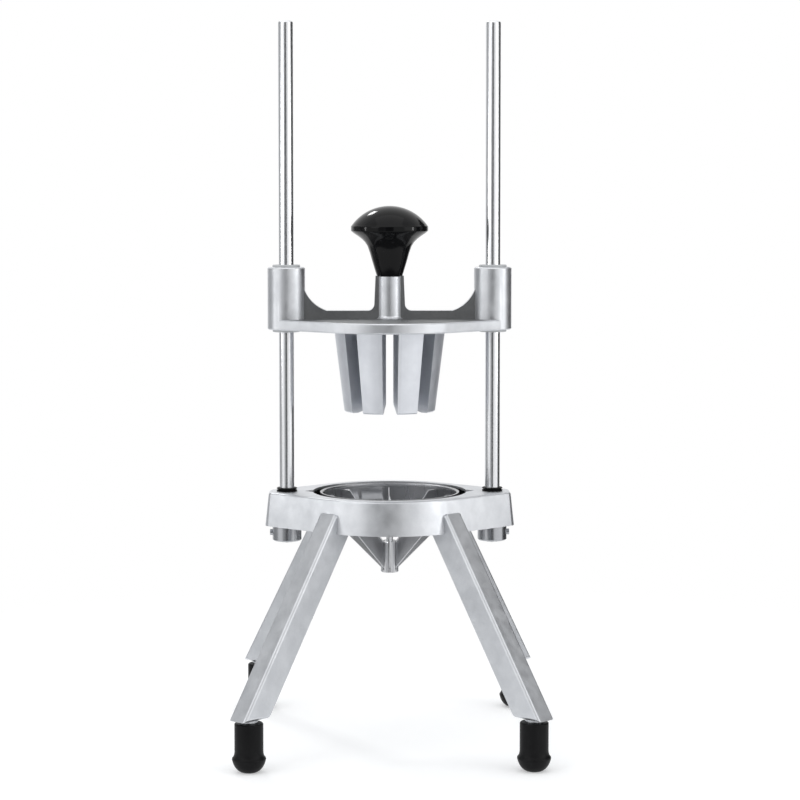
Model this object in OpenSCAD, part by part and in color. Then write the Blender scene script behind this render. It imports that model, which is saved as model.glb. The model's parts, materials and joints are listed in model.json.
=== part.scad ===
// Push-down fruit wedger: cast stand on four legs, two guide rods and a sliding
// carriage that drives the fruit through a conical cartridge of radial blades.
// Millimetres. Z up, floor at z = 0, X along the line of the two rods.

/* [Guide rods] */
// Diameter of the polished guide rods
rod_d = 10; // [8:0.5:12]
// Distance between the two rod axes
rod_spacing = 139; // [136:1:150]
// Height of the rod tops above the floor
rod_top_z = 485; // [460:1:520]
// Diameter of the threaded lower end of a rod
rod_end_d = 8; // [6:0.5:8]
// Outer diameter of the rubber bumper at a rod's foot
bumper_d = 14; // [13:0.5:18]
// Height of the rubber bumper
bumper_h = 2.5; // [2:0.25:6]
// Diameter of the round nut under a base ear
rod_nut_d = 19.6; // [17:0.2:20]
// Height of the round nut
rod_nut_h = 11; // [9:0.5:16]

/* [Base casting] */
// Height of the base's top face above the floor
base_top_z = 169; // [160:1:180]
// Height of the base casting's apron
base_h = 22.5; // [21:0.5:28]
// Radius of the round middle of the base, at its top
base_r = 59; // [58.5:0.5:63]
// Half width of a base ear across its blunt end
ear_half_w = 11; // [10:0.5:14]
// How far the ear runs out past the rod axis
ear_reach = 12; // [11:0.5:16]
// Corner radius of the blunt ear
ear_corner_r = 5; // [3:0.5:8]
// How much wider each side of the apron is at its bottom than at its top
apron_draft = 2.4; // [1:0.2:4]
// Wall thickness of the apron
apron_wall = 4.5; // [4:0.1:6]
// Thickness of the base's top web
web_t = 5; // [4:0.5:6]
// Radius of the round opening for the cartridge
opening_r = 52; // [51:0.25:53]

/* [Blade cartridge] */
// Width of the black gasket between the cartridge's ring and the opening
gasket_w = 5; // [4:0.25:6]
// Wall thickness of the ring
ring_t = 1.2; // [0.8:0.1:1.6]
// Height of the ring
ring_h = 12.6; // [10:0.2:13]
// Thickness of one blade
blade_t = 0.8; // [0.5:0.1:1.2]
// Height of a blade, measured vertically
blade_h = 17; // [12:0.5:18]
// Slope of a blade below the horizontal
blade_slope = 45; // [35:1:47]
// Diameter of the hub that holds the blades' inner ends
hub_d = 12; // [10:0.5:13]
// Diameter of the spike on the hub
spike_d = 4.5; // [3:0.5:5]
// Length of the spike above the hub
spike_l = 30; // [15:1:32]
// Thickness of the gasket's lip under the ring
gasket_lip = 1.5; // [1:0.1:2]

/* [Carriage] */
// Height of the carriage plate's underside above the floor, as shown
carriage_z = 278.5; // [278.5:0.5:330]
// Thickness of the carriage plate
plate_t = 7; // [6.5:0.5:10]
// Radius of the round middle of the carriage plate
plate_r = 58.5; // [52:0.5:64]
// Outer radius of a guide boss
boss_r = 12.6; // [11.5:0.1:14]
// Height of a guide boss
boss_h = 42; // [34:1:52]
// Thickness of the central rib and its gussets
rib_t = 8; // [6:0.5:10]
// Height of the rib above the plate
rib_h = 5.8; // [4:0.2:9]
// Height and reach of the gussets at the guide bosses
gusset_l = 15.5; // [10:0.5:20]
// Diameter of the centre stem
stem_d = 16.4; // [14:0.1:18]
// Height of the stem's top above the plate
stem_h = 29.2; // [22:0.2:36]
// Outer diameter of a bushing in its boss
bushing_d = 14; // [13:0.5:16]
// Diameter of a bushing's flange
bushing_flange_d = 18.6; // [17:0.2:22]
// Length of a bushing inside its boss
bushing_l = 14; // [10:0.5:16]

/* [Push block] */
// Length of the fingers below the plate
finger_l = 55; // [50:0.5:56]
// Outer radius of the fingers at the plate
finger_top_r = 37.6; // [35:0.2:38.5]
// Outer radius of the fingers at their tips
finger_tip_r = 30.9; // [26:0.2:33]
// Clearance between the hub and the inside of the fingers
hub_clearance = 1; // [0.5:0.25:2]
// Width of the gap between two fingers at the inside
gap_inner = 5; // [4:0.2:6]
// Width of the gap between two fingers at the outside
gap_outer = 11.2; // [7:0.2:12]

/* [Knob] */
// Diameter of the knob
knob_d = 52; // [44:0.5:60]
// Height of the knob
knob_h = 46.9; // [40:0.1:60]

/* [Legs and feet] */
// Distance of a foot's centre from the middle, along the line of the rods
foot_x = 91.5; // [88:0.5:94]
// Distance of a foot's centre from the middle, across the line of the rods
foot_y = 95.5; // [93:0.5:98]
// How far inside the base's edge a leg's centre line ends, at the top of the leg
leg_head_in = 8.3; // [7.5:0.1:9]
// Width of the leg's outer flange
flange_w = 15; // [14:0.5:17]
// Depth of the leg's two webs
web_d = 18; // [16:0.5:20]
// Thickness of the flange and the webs
leg_t = 4; // [3:0.25:5]
// How far the leg's head stands below the base's top face
head_drop = 9.5; // [8.5:0.25:12]
// Height of the rubber foot
foot_h = 32; // [28:0.5:34]
// Diameter of the rubber foot's sleeve
foot_d = 18.6; // [16:0.2:20]
// Diameter of the rubber foot at its flare
foot_flare_d = 22; // [20.5:0.2:26]

/* [Hidden] */

$fn = 64;
blade_count = 8;
// Thickness of the slices that a hull is drawn over
slice = 0.01;
// Overlap that lets a cut break cleanly through a face
cut = 1;

rod_x = rod_spacing / 2;
rod_r = rod_d / 2;
rod_end_r = rod_end_d / 2;
rod_tip_r = 1.5;
rod_bore_gap = 0.05;
rod_end_below_nut = 1;
set_screw_r = 2;
set_screw_l = 7;
set_screw_out = 1.7;

base_bottom_z = base_top_z - base_h;
base_edge_r = 1.6;
ear_end_x = rod_x + ear_reach;
ear_boss_r = ear_half_w - 1;
min_corner_r = 0.5;
nut_bottom_z = base_bottom_z - rod_nut_h;
rod_bottom_z = nut_bottom_z - rod_end_below_nut;

ring_r = opening_r - gasket_w;
ring_inset = 0.4;
ring_top_z = base_top_z - ring_inset;
ring_bottom_z = ring_top_z - ring_h;
ring_bead_r = 0.9;
ring_bore_r = ring_r - ring_t;
gasket_gap = 0.2;
gasket_inset = 1.6;
gasket_top_z = base_top_z - gasket_inset;
gasket_r = opening_r - gasket_gap;
gasket_bottom_z = ring_bottom_z - gasket_lip;
gasket_lip_r = ring_bore_r - 0.2;
ledge_t = 2;
ledge_r = ring_r + 1;
ledge_bottom_z = gasket_bottom_z - ledge_t;
seat_wall = 4;

nub_reach = 5.4;
nub_tip_x = opening_r + nub_reach;
nub_end_gap = 3;
nub_boss_w = 16;
hole_gap = 0.1;

hub_r = hub_d / 2;
hub_core_r = hub_r / 2;
blade_slot_drop = 2.6;
blade_top_z = ring_top_z - blade_slot_drop;
blade_end_gap = 0.3;
blade_end_r = ring_r - blade_end_gap;
blade_foot_r = ring_bore_r - 0.8;
blade_rise = tan(blade_slope);
blade_hub_z = ring_bottom_z - (blade_foot_r - hub_r) * blade_rise;
blade_shoulder_r = hub_r + (blade_top_z - blade_hub_z - blade_h) / blade_rise;
hub_below_blades = 3.2;
hub_above_blades = 1;
hub_bottom_z = blade_hub_z - hub_below_blades;
hub_top_z = blade_hub_z + blade_h + hub_above_blades;
hub_edge = 0.5;
spike_r = spike_d / 2;
spike_point_l = 8;
spike_tip_r = 0.3;

plate_top_z = carriage_z + plate_t;
plate_edge = 0.8;
// How far the plate's ends lie inside the face of a guide boss
plate_inside_boss = 0.8;
boss_top_z = carriage_z + boss_h;
boss_edge = 0.8;
rib_top_z = plate_top_z + rib_h;
stem_r = stem_d / 2;
stem_top_z = plate_top_z + stem_h;
stem_edge = 0.5;
fin_out = 1.3;
fin_foot_out = 2.1;
fin_fillet_r = 4.5;
// How near the gusset's curve bends towards its corner: half is a straight slope
gusset_hollow = 0.26;
root = 1;
bushing_r = bushing_d / 2;
bushing_flange_r = bushing_flange_d / 2;
upper_flange_t = 1.6;
lower_flange_t = 1.6;
bushing_bore_r = rod_r + rod_bore_gap;

flange_t = 3.5;
finger_inner_r = hub_r + hub_clearance;
flange_r = finger_top_r + 4.4;
flange_gap = 0.2;
finger_chamfer = 5;
finger_tip_w = 5;
finger_tip_z = carriage_z - finger_l;
block_screw_r = 2;
block_screw_head_r = 4;
block_screw_cone = 2;
block_screw_l = 14;
block_screw_pcr = 26;
block_screw_a = 180 / blade_count;

stud_r = 4;
stud_in_stem = 14;
stud_in_knob = 16;
stud_room = 0.5;
insert_r = 5.5;
insert_l = 15;
knob_r = knob_d / 2;
knob_foot_r = 8.6;
knob_neck_r = 12.2;
knob_neck_z = 12.5;
knob_flare_r = 14.8;
knob_flare_z = 21.5;
knob_rim_z = 29.8;
knob_rim_h = 2;
knob_rim_edge = 0.6;
curve_steps = 12;

foot_bottom_r = 4.5;
foot_flare_z = 8.5;
foot_neck_z = 14;
foot_edge = 0.7;
foot_r = foot_d / 2;
foot_flare_r = foot_flare_d / 2;
collar_h = 2;
collar_r = 6;
foot_stud_r = 3;
stud_in_foot = 14;
stud_in_leg = 8;
leg_bottom_z = foot_h + collar_h;
leg_top_z = base_top_z - head_drop;
leg_a = 45;
leg_ridge_r = 2;
leg_end_r = 2.5;
head_fill_h = 21;
pad_h = 11;
// Distance from the base's middle to a foot, along the direction in which the leg leans
foot_out = (foot_x + foot_y) * sin(leg_a);
leg_run = foot_out - base_r + leg_head_in;
leg_tilt = atan(leg_run / (leg_top_z - leg_bottom_z));
leg_screw_r = 2;
leg_screw_head_r = 3;
leg_screw_head_h = 3;
leg_screw_l = 7.5;
leg_screw_gap = 8.4;
leg_screw_z = base_bottom_z + 3.5;
leg_screw_wall = 3.2;
spot_gap = 0.3;
apron_lean = apron_draft / base_h;
leg_screw_seat = base_r + (base_top_z - leg_screw_z) * apron_lean - leg_screw_wall;

cast_grey = [0.74, 0.75, 0.77];
polished = [0.82, 0.83, 0.85];
screw_grey = [0.62, 0.63, 0.65];
rubber_black = [0.08, 0.08, 0.09];
knob_black = [0.05, 0.05, 0.05];
nylon_white = [0.86, 0.86, 0.84];
brass_yellow = [0.80, 0.65, 0.30];

// A point on the curve from a to c that bends towards b
function bend(a, b, c, t) = (1 - t) * (1 - t) * a + 2 * t * (1 - t) * b + t * t * c;
function curve(a, b, c) = [for (i = [0:curve_steps]) bend(a, b, c, i / curve_steps)];
function arc(centre, r, from, to) =
    [for (i = [0:curve_steps]) let (a = from + (to - from) * i / curve_steps)
        centre + r * [cos(a), sin(a)]];

// One level of the base's lens outline, grown or drawn in on every side
module base_level(z, grow) {
    corner_r = max(ear_corner_r + grow, min_corner_r);
    translate([0, 0, z]) {
        cylinder(r = base_r + grow, h = slice, $fn = 72);
        for (sx = [-1, 1], sy = [-1, 1])
            translate([sx * (ear_end_x + grow - corner_r), sy * (ear_half_w + grow - corner_r), 0])
                cylinder(r = corner_r, h = slice, $fn = 24);
    }
}

module base_envelope() {
    hull() {
        base_level(base_bottom_z, apron_draft);
        base_level(base_top_z - base_edge_r, base_edge_r * apron_lean);
        base_level(base_top_z - base_edge_r * 0.3, -base_edge_r * 0.3);
        base_level(base_top_z - slice, -base_edge_r);
    }
}

module base_cavity() {
    hull() {
        base_level(base_bottom_z - cut, apron_draft - apron_wall);
        base_level(base_top_z - web_t - slice, -apron_wall);
    }
}

module at_rods() {
    for (side = [-1, 1])
        translate([side * rod_x, 0, 0]) children();
}

// The square pocket corner of a nub, its tip at nub_tip_x less the gap
module nub_shape(gap) {
    side = nub_reach * 2;
    for (turn = [0, 180])
        rotate([0, 0, turn])
            translate([nub_tip_x - gap, 0]) rotate([0, 0, 135]) square(side);
}

// What stays solid inside the base: rod bosses, cartridge seat and nub bosses
module base_bosses() {
    at_rods() translate([0, 0, base_bottom_z]) cylinder(r = ear_boss_r, h = base_h);
    translate([0, 0, ledge_bottom_z]) cylinder(r = opening_r + seat_wall, h = base_top_z - ledge_bottom_z);
    for (side = [-1, 1])
        translate([side * (nub_tip_x + seat_wall - nub_boss_w / 2), 0, (ledge_bottom_z + base_top_z) / 2])
            cube([nub_boss_w, nub_boss_w, base_top_z - ledge_bottom_z], center = true);
}

// Places children at a leg's foot, turned so that +X is the way in which the leg leans out
module at_leg(sx, sy) {
    mirror([sx < 0 ? 1 : 0, 0, 0]) mirror([0, sy < 0 ? 1 : 0, 0])
        translate([foot_x, foot_y, 0]) rotate([0, 0, leg_a]) children();
}

// Places children at both screw axes of a leg, +X out along the screw
module at_leg_screws(from) {
    for (side = [-1, 1])
        translate([from - foot_out, side * leg_screw_gap / 2, leg_screw_z]) rotate([0, 90, 0]) children();
}

module base_casting() {
    color(cast_grey) difference() {
        base_envelope();
        difference() {
            base_cavity();
            base_bosses();
        }
        translate([0, 0, gasket_bottom_z]) {
            cylinder(r = opening_r, h = base_h, $fn = 96);
            linear_extrude(base_h) nub_shape(0);
        }
        cylinder(r = ledge_r, h = base_top_z, $fn = 96);
        at_rods() translate([0, 0, base_bottom_z - cut]) cylinder(r = rod_end_r + hole_gap, h = base_h + 2 * cut);
        for (sx = [-1, 1], sy = [-1, 1]) at_leg(sx, sy) {
            at_leg_screws(leg_screw_seat) cylinder(r = leg_screw_r + hole_gap, h = leg_screw_l, $fn = 24);
            at_leg_screws(leg_screw_seat - leg_screw_head_h - cut)
                cylinder(r = leg_screw_head_r + spot_gap, h = leg_screw_head_h + cut, $fn = 24);
        }
    }
}

// Cuts at the blades' places, from radius a out to radius b
module blade_slots(a, b, low_z, high_z) {
    for (i = [1:blade_count])
        rotate([0, 0, i * 360 / blade_count])
            translate([a, -blade_t / 2, low_z]) cube([b - a, blade_t, high_z - low_z]);
}

module blade_ring() {
    color(polished) difference() {
        rotate_extrude($fn = 96) {
            translate([ring_bore_r, ring_bottom_z]) square([ring_t, ring_h]);
            translate([ring_r - ring_bead_r, ring_top_z - ring_bead_r]) circle(r = ring_bead_r, $fn = 16);
        }
        blade_slots(ring_bore_r - cut, ring_r + cut, ring_bottom_z - cut, blade_top_z);
    }
}

module blade(i) {
    color(polished) rotate([0, 0, i * 360 / blade_count]) rotate([90, 0, 0])
        linear_extrude(blade_t, center = true)
            polygon([[hub_core_r, blade_hub_z], [hub_r, blade_hub_z], [blade_foot_r, ring_bottom_z],
                [blade_end_r, ring_bottom_z], [blade_end_r, blade_top_z], [blade_shoulder_r, blade_top_z],
                [hub_r, blade_hub_z + blade_h], [hub_core_r, blade_hub_z + blade_h]]);
}

module blade_hub() {
    color(polished) difference() {
        rotate_extrude()
            polygon([[0, hub_bottom_z], [hub_r - hub_edge, hub_bottom_z], [hub_r, hub_bottom_z + hub_edge],
                [hub_r, hub_top_z - hub_edge], [hub_r - hub_edge, hub_top_z], [spike_r, hub_top_z],
                [spike_r, hub_top_z + spike_l - spike_point_l], [spike_tip_r, hub_top_z + spike_l],
                [0, hub_top_z + spike_l]]);
        blade_slots(hub_core_r, hub_r + cut, blade_hub_z, hub_top_z + cut);
    }
}

module ring_gasket() {
    color(rubber_black) {
        rotate_extrude($fn = 96)
            polygon([[gasket_lip_r, gasket_bottom_z], [gasket_r, gasket_bottom_z], [gasket_r, gasket_top_z],
                [ring_r, gasket_top_z], [ring_r, ring_bottom_z], [gasket_lip_r, ring_bottom_z]]);
        translate([0, 0, gasket_bottom_z]) linear_extrude(gasket_top_z - gasket_bottom_z) difference() {
            nub_shape(gasket_gap);
            circle(r = (ring_r + gasket_r) / 2);
            translate([-nub_tip_x, -nub_reach]) square([nub_end_gap, 2 * nub_reach]);
            translate([nub_tip_x - nub_end_gap, -nub_reach]) square([nub_end_gap, 2 * nub_reach]);
        }
    }
}

module guide_rod(side) {
    color(polished) translate([side * rod_x, 0, 0]) rotate_extrude()
        polygon(concat([[0, rod_bottom_z], [rod_end_r, rod_bottom_z], [rod_end_r, base_top_z], [rod_r, base_top_z]],
            arc([rod_r - rod_tip_r, rod_top_z - rod_tip_r], rod_tip_r, 0, 90), [[0, rod_top_z]]));
}

module rod_nut(side) {
    edge = 0.8;
    outer = rod_nut_d / 2;
    color(screw_grey) translate([side * rod_x, 0, nut_bottom_z]) difference() {
        rotate_extrude()
            polygon([[rod_end_r, 0], [outer - edge, 0], [outer, edge], [outer, rod_nut_h], [rod_end_r, rod_nut_h]]);
        translate([0, 0, rod_nut_h / 2]) rotate([0, side * 90, 0])
            cylinder(r = set_screw_r, h = rod_nut_d, $fn = 24);
    }
}

module rod_set_screw(side) {
    socket_r = 1;
    socket_depth = 2;
    color(screw_grey) translate([side * (rod_x + rod_nut_d / 2 + set_screw_out), 0, nut_bottom_z + rod_nut_h / 2])
        rotate([0, -side * 90, 0]) difference() {
            cylinder(r = set_screw_r, h = min(set_screw_l, rod_nut_d / 2 + set_screw_out - rod_end_r), $fn = 24);
            translate([0, 0, -cut]) cylinder(r = socket_r, h = socket_depth + cut, $fn = 6);
        }
}

// Rubber ring at the rod's foot, with a waist half way up
module bumper(side) {
    outer = bumper_d / 2;
    waist = 0.9;
    edge = 0.5;
    color(rubber_black) translate([side * rod_x, 0, base_top_z]) rotate_extrude()
        polygon(concat([[rod_r, 0], [outer - edge, 0], [outer, edge], [outer, bumper_h * 0.3]],
            [[outer - waist, bumper_h * 0.45], [outer - waist, bumper_h * 0.6], [outer, bumper_h * 0.75]],
            [[outer, bumper_h - edge], [outer - edge, bumper_h], [rod_r, bumper_h]]));
}

// One level of the carriage plate's lens outline
module plate_level(z, grow) {
    translate([0, 0, z]) {
        cylinder(r = plate_r + grow, h = slice, $fn = 72);
        at_rods() cylinder(r = boss_r - plate_inside_boss + grow, h = slice, $fn = 32);
    }
}

module carriage_plate() {
    hull() {
        plate_level(carriage_z, -plate_edge);
        plate_level(carriage_z + plate_edge, 0);
        plate_level(plate_top_z - plate_edge, 0);
        plate_level(plate_top_z - slice, -plate_edge);
    }
}

// Half of the upright profile: gusset at the boss, rib, and fin beside the stem
function rib_half() = let (face_x = rod_x - boss_r + root, bend_l = gusset_l * gusset_hollow) concat(
    [[0, plate_top_z - root], [rod_x - stem_r, plate_top_z - root]],
    [[rod_x - stem_r, rib_top_z + gusset_l]],
    curve([face_x, rib_top_z + gusset_l], [face_x - bend_l, rib_top_z + bend_l], [face_x - gusset_l, rib_top_z]),
    arc([stem_r + fin_fillet_r + fin_foot_out, rib_top_z + fin_fillet_r], fin_fillet_r, 270, 180),
    [[stem_r + fin_out, stem_top_z], [0, stem_top_z]]);

module carriage_rib() {
    for (side = [0, 1])
        mirror([side, 0, 0]) rotate([90, 0, 0]) linear_extrude(rib_t, center = true) polygon(rib_half());
}

module guide_boss() {
    rotate_extrude()
        polygon([[0, carriage_z], [boss_r - boss_edge, carriage_z], [boss_r, carriage_z + boss_edge],
            [boss_r, boss_top_z - boss_edge], [boss_r - boss_edge, boss_top_z], [0, boss_top_z]]);
}

module carriage_stem() {
    foot = 2.5;
    rotate_extrude()
        polygon(concat([[0, plate_top_z - root], [stem_r + foot, plate_top_z - root]],
            arc([stem_r + foot, plate_top_z + foot], foot, 270, 180),
            [[stem_r, stem_top_z - stem_edge], [stem_r - stem_edge, stem_top_z], [0, stem_top_z]]));
}

module at_block_screws() {
    for (i = [0:3])
        rotate([0, 0, block_screw_a + i * 90]) translate([block_screw_pcr, 0, 0]) children();
}

module carriage() {
    color(cast_grey) difference() {
        union() {
            carriage_plate();
            carriage_rib();
            at_rods() guide_boss();
            carriage_stem();
        }
        at_rods() translate([0, 0, carriage_z - cut]) cylinder(r = bushing_r, h = boss_h + 2 * cut);
        translate([0, 0, carriage_z - cut]) cylinder(r = flange_r + flange_gap, h = flange_t + cut, $fn = 96);
        translate([0, 0, stem_top_z - stud_in_stem - stud_room])
            cylinder(r = stud_r, h = stud_in_stem + stud_room + cut, $fn = 32);
        at_block_screws() {
            translate([0, 0, carriage_z]) cylinder(r = block_screw_r + hole_gap, h = plate_t + cut, $fn = 24);
            translate([0, 0, plate_top_z - block_screw_cone])
                cylinder(r1 = block_screw_r, r2 = block_screw_head_r, h = block_screw_cone, $fn = 32);
        }
    }
}

// Flanged guide bushing with its flange below z = 0 and its sleeve above
module bushing(flange_h) {
    edge = 0.4;
    color(nylon_white) rotate_extrude()
        polygon([[bushing_bore_r, -flange_h], [bushing_flange_r - edge, -flange_h], [bushing_flange_r, edge - flange_h],
            [bushing_flange_r, 0], [bushing_r, 0], [bushing_r, bushing_l], [bushing_bore_r, bushing_l]]);
}

module lower_bushing(side) {
    translate([side * rod_x, 0, carriage_z]) bushing(lower_flange_t);
}

module upper_bushing(side) {
    translate([side * rod_x, 0, boss_top_z]) mirror([0, 0, 1]) bushing(upper_flange_t);
}

// Plan of one gap between two fingers, widening outwards
module finger_gap() {
    wide = gap_inner + (gap_outer - gap_inner) * (flange_r - finger_inner_r) / (finger_top_r - finger_inner_r);
    polygon([[finger_inner_r - cut, -gap_inner / 2], [finger_inner_r, -gap_inner / 2], [flange_r, -wide / 2],
        [flange_r, wide / 2], [finger_inner_r, gap_inner / 2], [finger_inner_r - cut, gap_inner / 2]]);
}

module push_block() {
    tip_edge = 0.8;
    color(cast_grey) difference() {
        rotate_extrude($fn = 96)
            polygon([[finger_inner_r, carriage_z + flange_t], [finger_inner_r, finger_tip_z + finger_chamfer],
                [finger_tip_r - finger_tip_w, finger_tip_z], [finger_tip_r - tip_edge, finger_tip_z],
                [finger_tip_r, finger_tip_z + tip_edge], [finger_top_r, carriage_z], [flange_r, carriage_z],
                [flange_r, carriage_z + flange_t]]);
        for (i = [1:blade_count])
            rotate([0, 0, i * 360 / blade_count]) translate([0, 0, finger_tip_z - cut])
                linear_extrude(finger_l + cut) finger_gap();
        at_block_screws() translate([0, 0, plate_top_z - block_screw_l - stud_room])
            cylinder(r = block_screw_r, h = block_screw_l, $fn = 24);
    }
}

module push_block_screws() {
    socket_r = 1.5;
    socket_depth = 1.6;
    color(screw_grey) at_block_screws() difference() {
        union() {
            translate([0, 0, plate_top_z - block_screw_cone])
                cylinder(r1 = block_screw_r, r2 = block_screw_head_r, h = block_screw_cone, $fn = 32);
            translate([0, 0, plate_top_z - block_screw_l])
                cylinder(r = block_screw_r, h = block_screw_l - block_screw_cone, $fn = 24);
        }
        translate([0, 0, plate_top_z - socket_depth]) cylinder(r = socket_r, h = socket_depth + cut, $fn = 6);
    }
}

module knob() {
    rim_top = knob_rim_z + knob_rim_h;
    dome_h = knob_h - rim_top;
    dome_r = (knob_r * knob_r + dome_h * dome_h) / (2 * dome_h);
    dome_a = asin((dome_r - dome_h) / dome_r);
    color(knob_black) translate([0, 0, stem_top_z]) difference() {
        rotate_extrude($fn = 72)
            polygon(concat([[0, 0], [knob_foot_r, 0]],
                curve([knob_neck_r, knob_neck_z], [knob_flare_r, knob_flare_z], [knob_r - knob_rim_edge, knob_rim_z]),
                [[knob_r, knob_rim_z + knob_rim_edge], [knob_r, rim_top - knob_rim_edge]],
                [for (i = [0:curve_steps]) let (a = dome_a + (90 - dome_a) * (i + 0.5) / (curve_steps + 0.5))
                    [dome_r * cos(a), knob_h - dome_r + dome_r * sin(a)]]));
        translate([0, 0, -cut]) cylinder(r = insert_r, h = stud_in_knob + stud_room + cut, $fn = 48);
    }
}

module knob_insert() {
    color(brass_yellow) translate([0, 0, stem_top_z]) difference() {
        cylinder(r = insert_r, h = insert_l, $fn = 48);
        translate([0, 0, -cut]) cylinder(r = stud_r, h = insert_l + 2 * cut, $fn = 32);
    }
}

module knob_stud() {
    color(screw_grey) translate([0, 0, stem_top_z - stud_in_stem])
        cylinder(r = stud_r, h = stud_in_stem + stud_in_knob, $fn = 32);
}

// Section of a leg, +X outwards: a channel with its flange outside and open inwards
module leg_section() {
    out = web_d / 2;
    half = flange_w / 2;
    polygon(concat([[-out, -half]],
        arc([out - leg_ridge_r, -half + leg_ridge_r], leg_ridge_r, -90, 0),
        arc([out - leg_ridge_r, half - leg_ridge_r], leg_ridge_r, 0, 90),
        [[-out, half], [-out, half - leg_t], [out - leg_t, half - leg_t], [out - leg_t, leg_t - half], [-out, leg_t - half]]));
}

// Places children on a leg's sloping centre line, +Z up along it, from the leg's bottom
module on_leg_axis() {
    translate([0, 0, leg_bottom_z]) rotate([0, -leg_tilt, 0]) children();
}

module leg_blank() {
    length = (leg_top_z - leg_bottom_z + web_d) / cos(leg_tilt);
    fill = head_fill_h / cos(leg_tilt);
    on_leg_axis() {
        translate([0, 0, -web_d]) linear_extrude(length + web_d) leg_section();
        translate([-web_d / 2, leg_t / 2 - flange_w / 2, length - web_d - fill])
            cube([web_d - leg_t / 2, flange_w - leg_t, fill + web_d]);
        translate([-web_d / 2, leg_t / 2 - flange_w / 2, -web_d])
            cube([web_d - leg_t / 2, flange_w - leg_t, pad_h + web_d]);
    }
}

// Level top and bottom of a leg with rounded corners, as seen from outside
module leg_outline() {
    half = flange_w / 2;
    depth = leg_run + 3 * web_d;
    translate([1.5 * web_d, 0, 0]) rotate([90, 0, -90]) linear_extrude(depth)
        polygon(concat(
            arc([half - leg_end_r, leg_top_z - leg_end_r], leg_end_r, 0, 90),
            arc([-half + leg_end_r, leg_top_z - leg_end_r], leg_end_r, 90, 180),
            arc([-half + leg_end_r, leg_bottom_z + leg_end_r], leg_end_r, 180, 270),
            arc([half - leg_end_r, leg_bottom_z + leg_end_r], leg_end_r, 270, 360)));
}

module leg(sx, sy) {
    color(cast_grey) difference() {
        at_leg(sx, sy) difference() {
            intersection() {
                leg_blank();
                leg_outline();
            }
            at_leg_screws(leg_screw_seat) cylinder(r = leg_screw_r, h = leg_screw_l + stud_room, $fn = 24);
            translate([0, 0, leg_bottom_z - cut]) cylinder(r = foot_stud_r, h = stud_in_leg + cut, $fn = 32);
        }
        base_envelope();
    }
}

module leg_screws(sx, sy) {
    socket_r = 1.5;
    socket_depth = 2;
    color(screw_grey) at_leg(sx, sy) {
        at_leg_screws(leg_screw_seat) cylinder(r = leg_screw_r, h = leg_screw_l, $fn = 24);
        at_leg_screws(leg_screw_seat - leg_screw_head_h) difference() {
            cylinder(r = leg_screw_head_r, h = leg_screw_head_h, $fn = 32);
            translate([0, 0, -cut]) cylinder(r = socket_r, h = socket_depth + cut, $fn = 6);
        }
    }
}

module foot_stud(sx, sy) {
    color(screw_grey) translate([sx * foot_x, sy * foot_y, foot_h]) {
        cylinder(r = collar_r, h = collar_h, $fn = 48);
        translate([0, 0, -stud_in_foot])
            cylinder(r = foot_stud_r, h = stud_in_foot + collar_h + stud_in_leg - stud_room, $fn = 32);
    }
}

module rubber_foot(sx, sy) {
    color(rubber_black) translate([sx * foot_x, sy * foot_y, 0]) difference() {
        rotate_extrude()
            polygon(concat([[0, 0]],
                curve([foot_bottom_r, 0], [foot_flare_r - 1.5, 1.5], [foot_flare_r, foot_flare_z]),
                curve([foot_flare_r - 0.2, foot_flare_z + 0.8], [foot_r, foot_flare_z + 2], [foot_r, foot_neck_z]),
                [[foot_r, foot_h - foot_edge], [foot_r - foot_edge, foot_h], [0, foot_h]]));
        translate([0, 0, foot_h - stud_in_foot - stud_room])
            cylinder(r = foot_stud_r, h = stud_in_foot + stud_room + cut, $fn = 32);
    }
}

base_casting();
blade_ring();
blade_hub();
ring_gasket();
for (i = [1:blade_count])
    blade(i);
for (side = [-1, 1]) {
    name = side < 0 ? "left" : "right";
    guide_rod(side);
    rod_nut(side);
    rod_set_screw(side);
    bumper(side);
    lower_bushing(side);
    upper_bushing(side);
}
for (sx = [-1, 1], sy = [-1, 1]) {
    name = str(sy < 0 ? "front_" : "rear_", sx < 0 ? "left" : "right");
    leg(sx, sy);
    leg_screws(sx, sy);
    foot_stud(sx, sy);
    rubber_foot(sx, sy);
}
carriage();
push_block();
push_block_screws();
knob();
knob_insert();
knob_stud();
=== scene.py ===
# %% [markdown]
# # A push-down fruit wedger
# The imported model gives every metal, rubber and plastic piece at its real size. This lesson
# gives those pieces their finish, rounds their edges, and sets up the camera and the light.
# Everything is in metres, with the floor at zero and the guide rods standing along Z.

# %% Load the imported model
import json
import math

import bpy
from mathutils import Matrix, Vector

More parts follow.
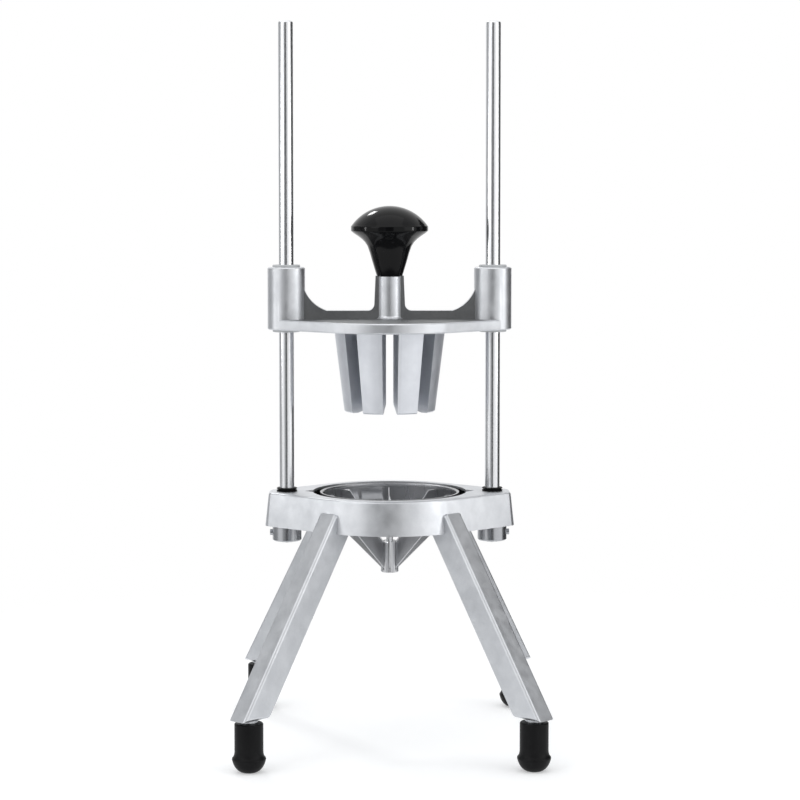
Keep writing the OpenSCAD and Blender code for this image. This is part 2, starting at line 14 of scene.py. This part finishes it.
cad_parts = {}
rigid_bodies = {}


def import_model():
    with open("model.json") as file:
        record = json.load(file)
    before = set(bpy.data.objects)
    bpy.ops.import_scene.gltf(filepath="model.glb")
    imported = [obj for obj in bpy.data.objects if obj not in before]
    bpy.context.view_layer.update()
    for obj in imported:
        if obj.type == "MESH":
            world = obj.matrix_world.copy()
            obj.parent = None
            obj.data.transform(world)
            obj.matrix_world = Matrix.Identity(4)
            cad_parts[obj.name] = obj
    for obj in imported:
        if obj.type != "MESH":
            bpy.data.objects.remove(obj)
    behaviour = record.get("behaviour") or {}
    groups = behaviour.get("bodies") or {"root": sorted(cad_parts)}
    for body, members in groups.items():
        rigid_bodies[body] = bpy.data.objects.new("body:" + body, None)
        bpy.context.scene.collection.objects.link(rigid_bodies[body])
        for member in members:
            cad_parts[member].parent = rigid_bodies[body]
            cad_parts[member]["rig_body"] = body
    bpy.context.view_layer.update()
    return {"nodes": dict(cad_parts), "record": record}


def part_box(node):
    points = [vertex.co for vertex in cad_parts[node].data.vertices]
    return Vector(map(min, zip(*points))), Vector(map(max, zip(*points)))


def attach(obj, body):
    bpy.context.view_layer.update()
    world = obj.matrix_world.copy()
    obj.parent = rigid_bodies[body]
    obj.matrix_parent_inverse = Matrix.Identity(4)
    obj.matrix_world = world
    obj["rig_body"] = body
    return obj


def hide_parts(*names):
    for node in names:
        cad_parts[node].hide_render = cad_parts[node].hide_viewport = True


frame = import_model()
MM = 0.001

# %% [markdown]
# ## The camera
# The press was photographed from a little above the middle of its height, square to the
# two rods. A long lens keeps the rods parallel. The rest of the height comes from a small
# shift, as on a view camera, because tipping the camera further would lean the rods.

# %% Place the camera
LENS = 107.0
CAMERA_AWAY = 1.600
CAMERA_ASIDE = 0.0070
CAMERA_HEIGHT = 0.3750
CAMERA_TURN = math.radians(-1.0)
CAMERA_DIP = math.radians(3.95)
CAMERA_SHIFT = -0.0625

camera_at = Matrix.Rotation(CAMERA_TURN, 4, "Z") @ Vector((CAMERA_ASIDE, -CAMERA_AWAY, CAMERA_HEIGHT))
bpy.ops.object.camera_add(location=camera_at, rotation=(math.radians(90) - CAMERA_DIP, 0, CAMERA_TURN))
camera = bpy.context.object
camera.data.lens = LENS
camera.data.sensor_width = 36
camera.data.shift_y = CAMERA_SHIFT
bpy.context.scene.camera = camera
bpy.context.scene.view_settings.view_transform = "Standard"
print("camera at", [round(v, 3) for v in camera_at], "lens", LENS)

# %% [markdown]
# ## Small helpers for materials
# A procedural material is a handful of nodes wired together. These helpers add a node and
# set its sockets in one line, so that each finish below reads as a recipe.


# %% Material helpers
def new_material(name):
    """An empty material with its principled shader, and the node tree to add to."""
    material = bpy.data.materials.new(name)
    material.use_nodes = True
    tree = material.node_tree
    return material, tree, tree.nodes["Principled BSDF"]


def add_node(tree, kind, **sockets):
    """Adds a node and sets its input sockets by name."""
    node = tree.nodes.new(kind)
    for name, value in sockets.items():
        node.inputs[name.replace("_", " ")].default_value = value
    return node


def object_pattern(tree, stretch=(1, 1, 1)):
    """Object coordinates, stretched for patterns that run in one direction."""
    place = tree.nodes.new("ShaderNodeTexCoord")
    mapping = tree.nodes.new("ShaderNodeMapping")
    mapping.inputs["Scale"].default_value = stretch
    tree.links.new(place.outputs["Object"], mapping.inputs["Vector"])
    return mapping.outputs["Vector"]


def noise(tree, vector, scale, detail=4.0, roughness=0.6):
    """A noise texture on a vector; its Fac output."""
    node = add_node(tree, "ShaderNodeTexNoise", Scale=scale, Detail=detail, Roughness=roughness)
    tree.links.new(vector, node.inputs["Vector"])
    return node.outputs["Fac"]


def between(tree, factor, low, high, start=0.3, end=0.7):
    """Turns a 0 to 1 pattern into a value that runs from low to high."""
    node = add_node(tree, "ShaderNodeMapRange", **{"From_Min": start, "From_Max": end})
    node.inputs["To Min"].default_value = low
    node.inputs["To Max"].default_value = high
    tree.links.new(factor, node.inputs["Value"])
    return node.outputs["Result"]


def two_tones(tree, factor, dark, light, start=0.35, end=0.65):
    """A colour that wanders between two tones."""
    ramp = tree.nodes.new("ShaderNodeValToRGB")
    ramp.color_ramp.elements[0].position = start
    ramp.color_ramp.elements[0].color = (*dark, 1)
    ramp.color_ramp.elements[1].position = end
    ramp.color_ramp.elements[1].color = (*light, 1)
    tree.links.new(factor, ramp.inputs["Fac"])
    return ramp.outputs["Color"]


def add_bump(tree, shader, height, strength, depth):
    """Adds relief to the shader's normal, on top of any that is there already."""
    bump = add_node(tree, "ShaderNodeBump", Strength=strength, Distance=depth)
    tree.links.new(height, bump.inputs["Height"])
    if shader.inputs["Normal"].is_linked:
        before = shader.inputs["Normal"].links[0].from_socket
        tree.links.new(before, bump.inputs["Normal"])
    tree.links.new(bump.outputs["Normal"], shader.inputs["Normal"])


# %% [markdown]
# ## Cast aluminium
# The stand, its legs and the carriage are sand-blasted and tumbled castings. They look
# pale and satin, with a fine grain, faint clouds where the tumbling polished more, and shallow
# waves. Four noises at different scales give that: clouds in the colour, patches in the
# roughness, and grain and waves in the relief.


# %% Cast aluminium
CAST_CLOUDS = 55
CAST_PATCHES = 140
CAST_GRAIN = 900
CAST_WAVES = 160
GRAIN_DEPTH = 0.12 * MM
WAVE_DEPTH = 0.4 * MM


def cast_metal(name, dark, light, rough, grain):
    """A satin casting: cloudy colour, patchy shine, and fine grain over shallow waves."""
    material, tree, shader = new_material(name)
    place = object_pattern(tree)
    shader.inputs["Metallic"].default_value = 1.0
    clouds = noise(tree, place, CAST_CLOUDS, 5, 0.65)
    tree.links.new(two_tones(tree, clouds, dark, light), shader.inputs["Base Color"])
    patches = noise(tree, place, CAST_PATCHES, 3)
    tree.links.new(between(tree, patches, rough - 0.05, rough + 0.06), shader.inputs["Roughness"])
    add_bump(tree, shader, noise(tree, place, CAST_GRAIN, 3, 0.7), grain, GRAIN_DEPTH)
    add_bump(tree, shader, noise(tree, place, CAST_WAVES, 2), grain * 0.5, WAVE_DEPTH)
    return material


CASTING = cast_metal("cast_aluminium", (0.57, 0.585, 0.61), (0.66, 0.675, 0.70), 0.42, 0.22)
BLOCK = cast_metal("push_block_cast", (0.66, 0.68, 0.72), (0.72, 0.74, 0.78), 0.48, 0.12)
# painted shade: a dark copy of the casting for the carriage's rib sides and plate top
CARRIAGE_PAINTED_SHADE = cast_metal("carriage_painted_shade", (0.18, 0.185, 0.19), (0.22, 0.225, 0.23), 0.55, 0.30)

# %% [markdown]
# ## Steel finishes
# The rods are ground and polished, so they get no relief at all. Blades are rolled and
# brushed, which leaves faint upright scratches. The ring that holds them is the same steel,
# painted darker all over as painted shade for the shade inside the ring. Screws and nuts are turned
# and plated, with an uneven shine in level bands.


# %% Steel
STEEL_CLOUDS = 60
STEEL_SCRATCHES = 300
SCRATCH_DEPTH = 0.05 * MM


def steel(name, colour, rough, scratch_stretch, scratch):
    """Rolled or turned steel: a slightly uneven shine, and scratches along one direction."""
    material, tree, shader = new_material(name)
    place = object_pattern(tree, scratch_stretch)
    shader.inputs["Metallic"].default_value = 1.0
    clouds = noise(tree, place, STEEL_CLOUDS, 2)
    darker = tuple(v * 0.94 for v in colour)
    tree.links.new(two_tones(tree, clouds, darker, colour), shader.inputs["Base Color"])
    tree.links.new(between(tree, clouds, rough * 0.95, rough * 1.05), shader.inputs["Roughness"])
    if scratch:
        scratches = noise(tree, place, STEEL_SCRATCHES, 4, 0.7)
        add_bump(tree, shader, scratches, scratch, SCRATCH_DEPTH)
    return material


ROD = steel("polished_rod", (0.80, 0.81, 0.83), 0.24, (1, 1, 0.05), 0.0)
BLADE = steel("stainless_blade", (0.60, 0.605, 0.62), 0.32, (1, 1, 0.15), 0.05)
# painted shade: the ring's steel is darker than the blades' to stand for the shade inside it
RING_PAINTED_SHADE = steel("ring_steel_painted_shade", (0.36, 0.365, 0.38), 0.28, (1, 1, 0.15), 0.05)
FASTENER = steel("fastener_steel", (0.44, 0.45, 0.47), 0.26, (0.2, 0.2, 3), 0.02)

# %% [markdown]
# ## Black rubber, the gloss knob and the small mouldings
# Rubber scatters light softly and carries dust-fine grain. The ring gasket is seen almost edge
# on, where even dull rubber mirrors a pale room, so it gets a fully matt mix of its own. The
# knob is moulded phenolic plastic with a polished skin: nearly black, and smooth enough to
# mirror the studio.


# %% Rubber and plastics
MOULDED_CLOUDS = 90
MOULDED_DEPTH = 0.1 * MM


def moulded(name, dark, light, rough, grain, grain_scale, shine):
    """Rubber or plastic; with grain 0 its surface is smooth."""
    material, tree, shader = new_material(name)
    place = object_pattern(tree)
    clouds = noise(tree, place, MOULDED_CLOUDS, 4)
    tree.links.new(two_tones(tree, clouds, dark, light), shader.inputs["Base Color"])
    tree.links.new(between(tree, clouds, rough * 0.97, rough * 1.03), shader.inputs["Roughness"])
    shader.inputs["Specular IOR Level"].default_value = shine
    if grain:
        add_bump(tree, shader, noise(tree, place, grain_scale, 3), grain, MOULDED_DEPTH)
    return material


RUBBER = moulded("rubber", (0.0035, 0.0035, 0.004), (0.006, 0.006, 0.0065),
                 rough=0.45, grain=0.15, grain_scale=1200, shine=0.12)
GASKET = moulded("gasket_rubber", (0.002, 0.002, 0.0022), (0.004, 0.004, 0.0042),
                 rough=0.85, grain=0.2, grain_scale=1200, shine=0.0)
KNOB = moulded("knob_black", (0.003, 0.003, 0.0035), (0.004, 0.004, 0.0045),
               rough=0.12, grain=0.0, grain_scale=0, shine=0.15)
BUSHING = moulded("bushing", (0.42, 0.43, 0.44), (0.50, 0.51, 0.52),
                  rough=0.38, grain=0.1, grain_scale=700, shine=0.5)
BRASS = steel("brass", (0.72, 0.52, 0.22), 0.25, (1, 1, 3), 0.1)

FINISH = {
    "cast_aluminium": CASTING,
    "push_block_aluminium": BLOCK,
    "polished_rod": ROD,
    "stainless_blade": BLADE,
    "fastener_steel": FASTENER,
    "rubber": RUBBER,
    "knob_black": KNOB,
    "bushing": BUSHING,
    "brass": BRASS,
}
SLOT_OF = {row["node"]: row["material_slot"] for row in frame["record"]["subparts"]}
print("finishes", sorted(FINISH))


# %% Put a finish on every node
def paint(piece, material):
    """Gives the whole piece one material."""
    piece.data.materials.clear()
    piece.data.materials.append(material)


for node, piece in frame["nodes"].items():
    paint(piece, FINISH[SLOT_OF[node]])
# the ring gets the darker steel that paints its inner shade
paint(frame["nodes"]["blade_ring"], RING_PAINTED_SHADE)
paint(frame["nodes"]["ring_gasket"], GASKET)
print("painted", len(frame["nodes"]), "nodes")

# %% [markdown]
# ## Rounding the edges of a machined or cast piece
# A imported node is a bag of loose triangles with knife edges. Real castings have a soft
# edge that catches the light. A copy of the node is welded, its flat faces are joined
# again, and a narrow bevel runs along every sharp edge. The copy then stands for the node.
# The blades get one flat bevel on both sides, as from a grinding wheel, while their ring and
# hub keep crisp edges. The rods and the knob are left for later, because they are turned afresh.


# %% Dress a node
WELD_WITHIN = 0.005 * MM
FLAT_WITHIN = math.radians(0.5)


def dressed(node, edge, segments=2, sharp=35):
    """A welded, bevelled and smoothed copy of a CAD node, which it stands for."""
    source = frame["nodes"][node]
    piece = source.copy()
    piece.data = source.data.copy()
    piece.name = node + "_finished"
    for key in list(piece.keys()):
        del piece[key]  # the frame's own tags on the node, which the copy gets anew below
    bpy.context.scene.collection.objects.link(piece)
    bpy.ops.object.select_all(action="DESELECT")
    piece.parent = None
    piece.select_set(True)
    bpy.context.view_layer.objects.active = piece
    bpy.ops.object.mode_set(mode="EDIT")
    bpy.ops.mesh.select_all(action="SELECT")
    bpy.ops.mesh.remove_doubles(threshold=WELD_WITHIN)
    bpy.ops.mesh.dissolve_limited(angle_limit=FLAT_WITHIN)
    bpy.ops.object.mode_set(mode="OBJECT")
    if edge:
        bevel = piece.modifiers.new("soft_edges", "BEVEL")
        bevel.width = edge
        bevel.segments = segments
        bevel.limit_method = "ANGLE"
        bevel.angle_limit = math.radians(sharp)
        bevel.use_clamp_overlap = True
        bpy.ops.object.modifier_apply(modifier=bevel.name)
    bpy.ops.object.shade_smooth_by_angle(angle=math.radians(sharp))
    weigh = piece.modifiers.new("weigh_flat_faces", "WEIGHTED_NORMAL")
    weigh.keep_sharp = True
    bpy.ops.object.modifier_apply(modifier=weigh.name)
    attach(piece, source["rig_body"])
    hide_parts(node)


# %% Dress all but the turned pieces
EDGES = {
    "cast_aluminium": 0.6 * MM,
    "push_block_aluminium": 0.5 * MM,
    "stainless_blade": 0.0,
    "fastener_steel": 0.2 * MM,
    "rubber": 0.3 * MM,
    "bushing": 0.15 * MM,
    "brass": 0.0,
}
TURNED = ["guide_rod_left", "guide_rod_right", "knob"]
BLADE_COUNT = 8
BLADES = ["blade_" + str(i + 1) for i in range(BLADE_COUNT)]
BLADE_GRIND = 0.25 * MM
for node in sorted(frame["nodes"]):
    if node in BLADES:
        dressed(node, BLADE_GRIND, segments=1)
    elif node not in TURNED:
        dressed(node, EDGES[SLOT_OF[node]])
print("dressed", len(frame["nodes"]) - len(TURNED), "nodes")

# %% [markdown]
# ## Painted shade on the carriage casting
# The guide bosses, the stem and the rim of the plate are tumbled bright. The flat sides of the
# rib and the top of the plate fall in shade, so a second, dark material on those faces, chosen
# by where they lie and which way they look, paints that shade into their colour.

# %% Carriage painted shade
RIB_HALF = 4 * MM
ON_PLANE = 0.3 * MM
FACING = 0.9
carriage = bpy.data.objects["carriage_finished"]
plate_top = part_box("push_block_screws")[1][2]  # the screws end level with the plate's top
# the second material paints shade on the rib sides and the plate top
carriage.data.materials.append(CARRIAGE_PAINTED_SHADE)
painted_shade_faces = 0
for face in carriage.data.polygons:
    on_rib = abs(face.normal.y) > FACING and abs(abs(face.center.y) - RIB_HALF) < ON_PLANE
    on_plate = face.normal.z > FACING and abs(face.center.z - plate_top) < ON_PLANE
    if on_plate or (on_rib and face.center.z > plate_top):
        face.material_index = 1
        painted_shade_faces += 1
# counts the carriage faces that carry the painted shade
print("carriage faces with the mould's skin", painted_shade_faces)

# %% [markdown]
# ## The guide rods
# Each rod is ground and polished bar: ten millimetres thick above the base, stepped down to
# pass through the base into its nut, with a rounded top. Polish shows every facet, so the
# rod is drawn afresh from a circle of many sides, pulled up ring by ring as on a lathe.


# %% Turn a piece
def arc_points(centre_r, centre_z, radius, start, end, steps=6):
    """Points of a round corner in a lathe profile, angles in degrees from straight out."""
    turns = [math.radians(start + (end - start) * i / steps) for i in range(steps + 1)]
    return [(centre_r + radius * math.cos(t), centre_z + radius * math.sin(t)) for t in turns]


def turned(node, profile, around, sharp=35):
    """A lathe piece drawn up from a circle through (radius, height) points; it stands for the node."""
    low, high = (Vector(corner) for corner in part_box(node))
    axis = (low + high) / 2
    bpy.ops.object.select_all(action="DESELECT")
    first_r, first_z = profile[0]
    bpy.ops.mesh.primitive_circle_add(
        vertices=around, radius=first_r, fill_type="NGON", location=(axis.x, axis.y, first_z))
    piece = bpy.context.object
    piece.name = node + "_turned"
    bpy.ops.object.mode_set(mode="EDIT")
    for (r, z), (next_r, next_z) in zip(profile, profile[1:]):
        bpy.ops.mesh.extrude_region_move(TRANSFORM_OT_translate={"value": (0, 0, next_z - z)})
        grow = next_r / r
        bpy.ops.transform.resize(value=(grow, grow, 1), center_override=(axis.x, axis.y, next_z))
    bpy.ops.mesh.select_all(action="SELECT")
    bpy.ops.mesh.normals_make_consistent(inside=False)
    bpy.ops.object.mode_set(mode="OBJECT")
    bpy.ops.object.transform_apply(location=True, rotation=True, scale=True)
    bpy.ops.object.shade_smooth_by_angle(angle=math.radians(sharp))
    paint(piece, FINISH[SLOT_OF[node]])
    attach(piece, frame["nodes"][node]["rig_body"])
    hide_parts(node)
    print(piece.name, len(piece.data.polygons), "faces")


# %% Guide rods
ROD_SIDES = 128
ROD_END_R = 4 * MM
ROD_TIP_R = 1.5 * MM
base_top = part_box("base_casting")[1][2]
for side in ["left", "right"]:
    rod_low, rod_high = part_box("guide_rod_" + side)
    rod_r = (rod_high[0] - rod_low[0]) / 2
    tip = arc_points(rod_r - ROD_TIP_R, rod_high[2] - ROD_TIP_R, ROD_TIP_R, 0, 90)
    foot = [(ROD_END_R, rod_low[2]), (ROD_END_R, base_top), (rod_r, base_top)]
    turned("guide_rod_" + side, foot + tip, ROD_SIDES)

# %% [markdown]
# ## The knob
# The knob is moulded in one piece: a tapered neck, a flare, an upright rim and a shallow
# dome. The rim is a narrow band that catches the two strip lamps as bright dashes, so
# its corners are rounded rather than sharp. The foot of the neck rests on the carriage's stem,
# so the profile simply closes there.

# %% Knob
KNOB_SIDES = 160
KNOB_NECK = [(8.7, 0.0), (10.4, 5.5), (11.9, 10.5), (13.3, 15.5), (14.9, 20.0)]
KNOB_FLARE = [(16.6, 22.6), (18.8, 24.8), (21.5, 26.8), (24.2, 28.6)]
RIM_BOTTOM = 29.6
RIM_TOP = 33.8
RIM_ROUND = 1.0
RIM_TURN = 50
DOME_END = 89.5
DOME_STEPS = 24
knob_low, knob_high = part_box("knob")
knob_r = (knob_high[0] - knob_low[0]) / 2 / MM
knob_h = (knob_high[2] - knob_low[2]) / MM
rim = (arc_points(knob_r - RIM_ROUND, RIM_BOTTOM + RIM_ROUND, RIM_ROUND, -RIM_TURN, 0)
       + arc_points(knob_r - RIM_ROUND, RIM_TOP - RIM_ROUND, RIM_ROUND, 0, RIM_TURN))
dome_foot_r, dome_foot_z = rim[-1]
dome_h = knob_h - dome_foot_z
dome_r = (dome_foot_r ** 2 + dome_h ** 2) / (2 * dome_h)
dome_start = math.degrees(math.asin((dome_r - dome_h) / dome_r))
dome = arc_points(0, knob_h - dome_r, dome_r, dome_start, DOME_END, DOME_STEPS)[1:]
profile = [(r * MM, z * MM + knob_low[2]) for r, z in KNOB_NECK + KNOB_FLARE + rim + dome]
turned("knob", profile, KNOB_SIDES, sharp=60)

# %% [markdown]
# ## The floor
# The press stands on a sheet of pale paper. Its far edge would draw a line across the picture,
# so the paper turns clear with the distance from the middle, and only the white room is left.
# A little light of its own keeps the paper white while it still takes the soft shadows.

# %% Floor
FLOOR_SIZE = 3.0
PAPER_GREY = 0.80
PAPER_GLOW = 0.30
FADE_FROM = 0.12
FADE_TO = 0.6
bpy.ops.mesh.primitive_plane_add(size=FLOOR_SIZE, location=(0, 0, 0))
floor = bpy.context.object
floor.name = "floor"
floor_material, tree, shader = new_material("floor_paper")
shader.inputs["Base Color"].default_value = (PAPER_GREY, PAPER_GREY, PAPER_GREY, 1)
shader.inputs["Emission Color"].default_value = (1, 1, 1, 1)
shader.inputs["Emission Strength"].default_value = PAPER_GLOW
shader.inputs["Roughness"].default_value = 0.9
shader.inputs["Specular IOR Level"].default_value = 0.1
place = tree.nodes.new("ShaderNodeTexCoord")
fade = tree.nodes.new("ShaderNodeVectorMath")
fade.operation = "LENGTH"
tree.links.new(place.outputs["Object"], fade.inputs[0])
alpha = between(tree, fade.outputs["Value"], 1.0, 0.0, FADE_FROM, FADE_TO)
tree.links.new(alpha, shader.inputs["Alpha"])
paint(floor, floor_material)
print("floor", FLOOR_SIZE, "m wide, fades from", FADE_FROM, "to", FADE_TO, "m")

# %% [markdown]
# ## The white room
# The room is plain white where the camera or a reflection looks at it, so that the picture
# has a white background and the metal mirrors it. The light that it throws on dull surfaces,
# such as rubber and the floor, is set apart from that, and is a little lower and cooler.

# %% World
ROOM_TINT = (0.96, 0.98, 1, 1)
ROOM_LIGHT = 0.80
world = bpy.data.worlds.new("studio")
bpy.context.scene.world = world
world.use_nodes = True
tree = world.node_tree
backdrop = tree.nodes["Background"]
backdrop.inputs["Color"].default_value = (1, 1, 1, 1)
backdrop.inputs["Strength"].default_value = 1.0
room = tree.nodes.new("ShaderNodeBackground")
room.inputs["Color"].default_value = ROOM_TINT
room.inputs["Strength"].default_value = ROOM_LIGHT
rays = tree.nodes.new("ShaderNodeLightPath")
seen = rays.outputs["Is Camera Ray"]
for kind in ["Is Glossy Ray", "Is Transmission Ray"]:
    either = tree.nodes.new("ShaderNodeMath")
    either.operation = "MAXIMUM"
    tree.links.new(seen, either.inputs[0])
    tree.links.new(rays.outputs[kind], either.inputs[1])
    seen = either.outputs[0]
blend = tree.nodes.new("ShaderNodeMixShader")
tree.links.new(seen, blend.inputs["Fac"])
tree.links.new(room.outputs["Background"], blend.inputs[1])
tree.links.new(backdrop.outputs["Background"], blend.inputs[2])
tree.links.new(blend.outputs["Shader"], tree.nodes["World Output"].inputs["Surface"])
print("room light", ROOM_LIGHT)

# %% [markdown]
# ## Lamps and cards
# Three soft boxes light the castings. Two upright strips draw the dashes on the knob's rim, and
# a small lamp high behind puts a spark on its dome. Polished rods only look like steel when
# there is something dark for them to mirror, so two black flags and two grey cards stand out
# of the picture, as they would in a studio.


# %% Soft boxes and flags
MIDDLE = (0, 0, 0.25)


def aim(thing, target):
    """Turns a lamp or a card so that its face looks at the target."""
    thing.rotation_euler = (Vector(target) - thing.location).to_track_quat("-Z", "Y").to_euler()


def soft_box(name, place, width, height, power, target=MIDDLE):
    """A rectangular lamp of so many metres and watts, aimed at the target."""
    bpy.ops.object.light_add(type="AREA", location=place)
    lamp = bpy.context.object
    lamp.name = name
    lamp.data.shape = "RECTANGLE"
    lamp.data.size = width
    lamp.data.size_y = height
    lamp.data.energy = power
    aim(lamp, target)
    print(name, power, "W")


def flag(name, place, width, height, grey, target=MIDDLE):
    """A black or grey card that only reflections see."""
    bpy.ops.mesh.primitive_plane_add(size=1, location=place)
    card = bpy.context.object
    card.name = name
    card.scale = (width, height, 1)
    aim(card, target)
    material, tree, shader = new_material(name + "_cloth")
    shader.inputs["Base Color"].default_value = (grey, grey, grey, 1)
    shader.inputs["Roughness"].default_value = 1.0
    paint(card, material)
    card.visible_camera = False
    card.visible_diffuse = False
    card.visible_shadow = False


soft_box("left_box", (-1.3, -1.3, 1.1), 0.9, 1.5, 5)
soft_box("right_box", (1.5, -1.0, 0.9), 0.9, 1.5, 3.6)
soft_box("top_box", (0.0, -0.2, 1.9), 1.4, 1.4, 3)
soft_box("left_strip", (-1.5, -0.35, 0.40), 0.09, 0.35, 1.5)
soft_box("right_strip", (1.5, -0.48, 0.40), 0.11, 0.35, 1.8)
soft_box("rear_window", (-0.51, 1.26, 1.51), 0.25, 0.25, 4)
flag("camera_flag", (0.0, -2.4, 0.3), 0.95, 2.2, 0.02)
flag("grey_card", (-0.95, -2.3, 0.3), 1.1, 2.2, 0.40)
flag("right_flag", (1.7, 0.9, 0.4), 2.4, 2.4, 0.05)
flag("left_flag", (-1.8, 0.5, 0.4), 2.2, 2.4, 0.45)
